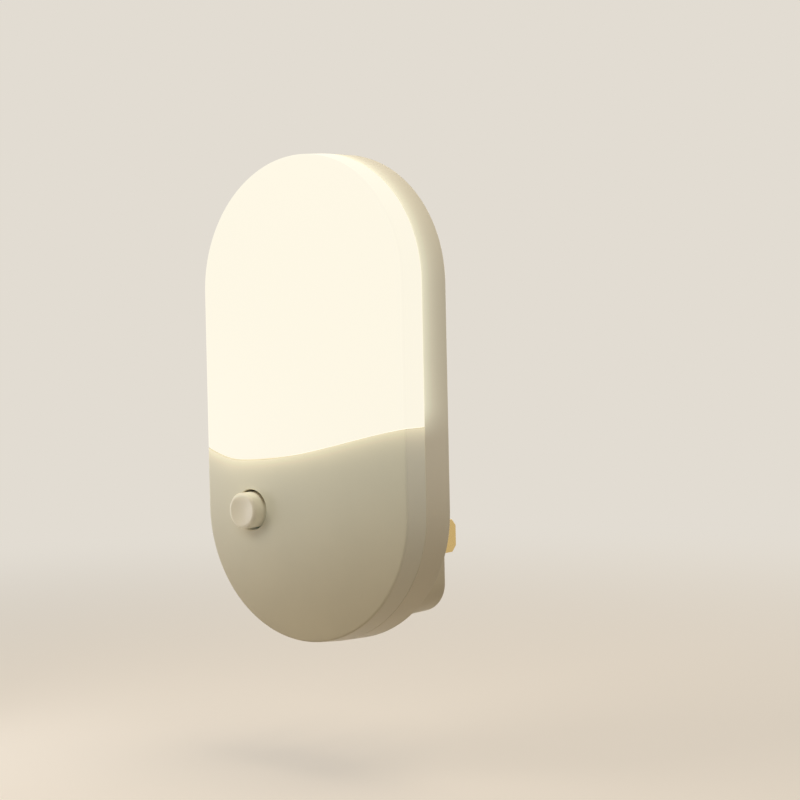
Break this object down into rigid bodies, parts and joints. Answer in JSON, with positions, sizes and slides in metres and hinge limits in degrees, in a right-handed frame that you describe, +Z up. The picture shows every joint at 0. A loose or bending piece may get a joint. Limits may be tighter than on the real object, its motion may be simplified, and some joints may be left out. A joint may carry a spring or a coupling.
{
  "type": "plug-in night light",
  "caption": "Capsule-shaped LED night light that hangs on its own flat-blade plug, with a lit milky diffuser over a wave-edged front cover and a round push button.",
  "frame": {"origin": "midway between the plug blades, on the plug boss's rear face, where it meets the outlet", "axes": "+Z up as plugged in, +Y into the wall (the front faces -Y), +X to the right as seen from the front"},
  "size_m": [0.0488, 0.0393, 0.0888],
  "materials": {
    "housing_plastic": "moulded white ABS, satin",
    "cover_plastic": "moulded white ABS, satin",
    "diffuser_plastic": "moulded milky polycarbonate, lit from inside",
    "button_plastic": "moulded white ABS, satin",
    "blade_brass": "stamped, tumbled",
    "retainer_plastic": "moulded black nylon",
    "screw_steel": "zinc plated",
    "driver_laminate": "solder-masked glass laminate",
    "led_laminate": "white solder-masked board",
    "film_case": "moulded box",
    "can_sleeve": "shrink sleeve",
    "bridge_epoxy": "moulded epoxy",
    "fuse_coat": "dipped coating",
    "bleed_coat": "dipped coating",
    "chip_black": "glazed ceramic",
    "switch_nylon": "moulded nylon",
    "plunger_nylon": "moulded acetal",
    "spring_steel": "bright wire",
    "leg_tin": "tinned",
    "led_phosphor": "white case with a phosphor window",
    "lead_brown": "PVC insulation",
    "lead_blue": "PVC insulation",
    "lead_red": "PVC insulation",
    "lead_black": "PVC insulation"
  },
  "bodies": {
    "lamp": {"rear_housing": "housing_plastic", "diffuser": "diffuser_plastic", "front_cover": "cover_plastic", "line_blade": "blade_brass", "neutral_blade": "blade_brass", "blade_retainer": "retainer_plastic", "retainer_screws": "screw_steel", "driver_board": "driver_laminate", "film_capacitor": "film_case", "smoothing_capacitor": "can_sleeve", "bridge_rectifier": "bridge_epoxy", "fuse_resistor": "fuse_coat", "bleed_resistor": "bleed_coat", "chip_resistors": "chip_black", "switch_body": "switch_nylon", "switch_spring": "spring_steel", "switch_legs": "leg_tin", "led_board": "led_laminate", "led_chips": "led_phosphor", "led_resistors": "chip_black", "line_lead": "lead_brown", "neutral_lead": "lead_blue", "led_lead_plus": "lead_red", "led_lead_minus": "lead_black", "housing_screws": "screw_steel", "led_board_screws": "screw_steel", "driver_board_screws": "screw_steel"},
    "button": {"push_button": "button_plastic", "switch_plunger": "plunger_nylon"}
  },
  "joints": [
    {"name": "button_press", "type": "slide", "parent": "lamp", "child": "button", "axis": [0, 1, 0], "range_m": [0, 0.0015], "stiffness_N_per_m": 800, "springref_m": -0.001, "deforming": ["switch_spring"]}
  ]
}
